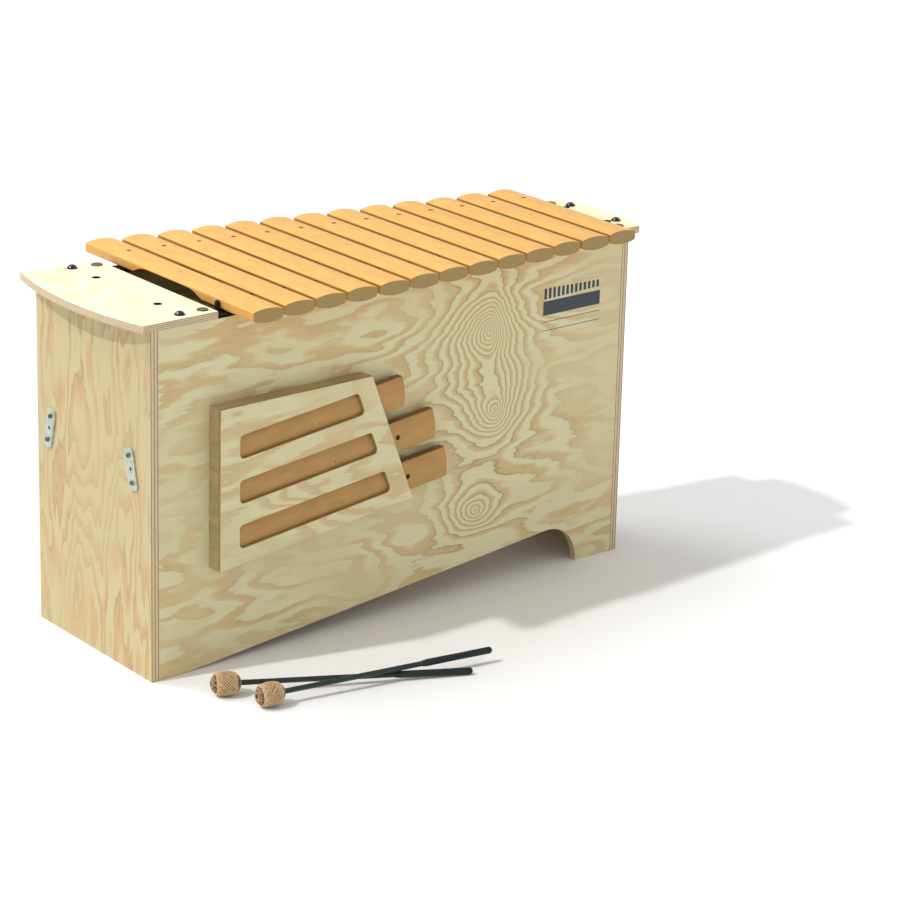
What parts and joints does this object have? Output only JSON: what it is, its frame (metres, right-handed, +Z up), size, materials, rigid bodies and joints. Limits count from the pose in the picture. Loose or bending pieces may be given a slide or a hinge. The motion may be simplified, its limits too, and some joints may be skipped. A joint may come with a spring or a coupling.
{
  "type": "xylophone",
  "caption": "great-bass box xylophone with barrel-topped bars on a tapered wooden resonator, spare bars in a holder on its front, and two yarn beaters",
  "frame": {"origin": "on the floor, at the middle of the bounding box of the whole set, beaters included", "axes": "+X runs from the bass end to the treble end and is the longest way, +Y runs along the bars to the back, +Z is up; the front with the spare-bar holder faces -Y"},
  "size_m": [1.14, 0.7198, 0.6295],
  "materials": {
    "panel_wood": "clear satin lacquer on pine",
    "inner_wood": "plain sanded",
    "plate_wood": "clear satin lacquer on birch ply",
    "holder_wood": "clear satin lacquer",
    "holder_strip_wood": "clear satin lacquer, end grain",
    "bar_composite": "satin glass-fibre composite",
    "spare_bar_composite": "satin glass-fibre composite",
    "black_felt": "dense felt",
    "black_rubber": "matte",
    "steel": "zinc plated",
    "black_metal": "gloss black",
    "cap_metal": "semi-gloss",
    "plaque": "blank, satin",
    "beater_yarn": "wound yarn",
    "beater_core": "matte",
    "beater_shaft": "gloss",
    "beater_grip": "matte"
  },
  "bodies": {
    "box": {"bass_side_panel": "panel_wood", "treble_side_panel": "panel_wood", "front_panel": "panel_wood", "back_panel": "panel_wood", "bottom_board": "inner_wood", "partition_1": "inner_wood", "partition_2": "inner_wood", "partition_3": "inner_wood", "front_rail": "inner_wood", "back_rail": "panel_wood", "treble_batten": "panel_wood", "front_felt": "black_felt", "back_felt": "black_felt", "front_pins": "steel", "back_pins": "steel", "front_pin_sleeves": "black_rubber", "back_pin_sleeves": "black_rubber", "bass_end_plate": "plate_wood", "treble_end_plate": "plate_wood", "dome_bolts": "black_metal", "plate_caps": "cap_metal", "holder_left_strip": "holder_strip_wood", "holder_top_strip": "holder_strip_wood", "holder_ledges": "holder_strip_wood", "holder_face_plate": "holder_wood", "fixing_plates": "steel", "fixing_screws": "steel", "blank_plaque": "plaque"},
    "bar_01": {"bar_01": "bar_composite"},
    "bar_02": {"bar_02": "bar_composite"},
    "bar_03": {"bar_03": "bar_composite"},
    "bar_04": {"bar_04": "bar_composite"},
    "bar_05": {"bar_05": "bar_composite"},
    "bar_06": {"bar_06": "bar_composite"},
    "bar_07": {"bar_07": "bar_composite"},
    "bar_08": {"bar_08": "bar_composite"},
    "bar_09": {"bar_09": "bar_composite"},
    "bar_10": {"bar_10": "bar_composite"},
    "bar_11": {"bar_11": "bar_composite"},
    "bar_12": {"bar_12": "bar_composite"},
    "bar_13": {"bar_13": "bar_composite"},
    "spare_bar_1": {"spare_bar_1": "spare_bar_composite"},
    "spare_bar_2": {"spare_bar_2": "spare_bar_composite"},
    "spare_bar_3": {"spare_bar_3": "spare_bar_composite"},
    "mallet_a": {"mallet_a_shaft": "beater_shaft", "mallet_a_core": "beater_core", "mallet_a_yarn": "beater_yarn", "mallet_a_grip": "beater_grip"},
    "mallet_b": {"mallet_b_shaft": "beater_shaft", "mallet_b_core": "beater_core", "mallet_b_yarn": "beater_yarn", "mallet_b_grip": "beater_grip"}
  },
  "joints": [
    {"name": "bar_01_lift", "type": "slide", "parent": "box", "child": "bar_01", "axis": [0, 0, 1], "range_m": [0, 0.06]},
    {"name": "bar_02_lift", "type": "slide", "parent": "box", "child": "bar_02", "axis": [0, 0, 1], "range_m": [0, 0.06]},
    {"name": "bar_03_lift", "type": "slide", "parent": "box", "child": "bar_03", "axis": [0, 0, 1], "range_m": [0, 0.06]},
    {"name": "bar_04_lift", "type": "slide", "parent": "box", "child": "bar_04", "axis": [0, 0, 1], "range_m": [0, 0.06]},
    {"name": "bar_05_lift", "type": "slide", "parent": "box", "child": "bar_05", "axis": [0, 0, 1], "range_m": [0, 0.06]},
    {"name": "bar_06_lift", "type": "slide", "parent": "box", "child": "bar_06", "axis": [0, 0, 1], "range_m": [0, 0.06]},
    {"name": "bar_07_lift", "type": "slide", "parent": "box", "child": "bar_07", "axis": [0, 0, 1], "range_m": [0, 0.06]},
    {"name": "bar_08_lift", "type": "slide", "parent": "box", "child": "bar_08", "axis": [0, 0, 1], "range_m": [0, 0.06]},
    {"name": "bar_09_lift", "type": "slide", "parent": "box", "child": "bar_09", "axis": [0, 0, 1], "range_m": [0, 0.06]},
    {"name": "bar_10_lift", "type": "slide", "parent": "box", "child": "bar_10", "axis": [0, 0, 1], "range_m": [0, 0.06]},
    {"name": "bar_11_lift", "type": "slide", "parent": "box", "child": "bar_11", "axis": [0, 0, 1], "range_m": [0, 0.06]},
    {"name": "bar_12_lift", "type": "slide", "parent": "box", "child": "bar_12", "axis": [0, 0, 1], "range_m": [0, 0.06]},
    {"name": "bar_13_lift", "type": "slide", "parent": "box", "child": "bar_13", "axis": [0, 0, 1], "range_m": [0, 0.06]},
    {"name": "spare_bar_1_slide", "type": "slide", "parent": "box", "child": "spare_bar_1", "axis": [0.992, 0.0706, 0.1045], "range_m": [0, 0.38]},
    {"name": "spare_bar_2_slide", "type": "slide", "parent": "box", "child": "spare_bar_2", "axis": [0.992, 0.0706, 0.1045], "range_m": [0, 0.35]},
    {"name": "spare_bar_3_slide", "type": "slide", "parent": "box", "child": "spare_bar_3", "axis": [0.992, 0.0706, 0.1045], "range_m": [0, 0.315]},
    {"name": "mallet_a_lift", "type": "slide", "parent": "box", "child": "mallet_a", "axis": [0, 0, 1], "range_m": [0, 0.3]},
    {"name": "mallet_b_lift", "type": "slide", "parent": "mallet_a", "child": "mallet_b", "axis": [0, 0, 1], "range_m": [0, 0.3]}
  ]
}
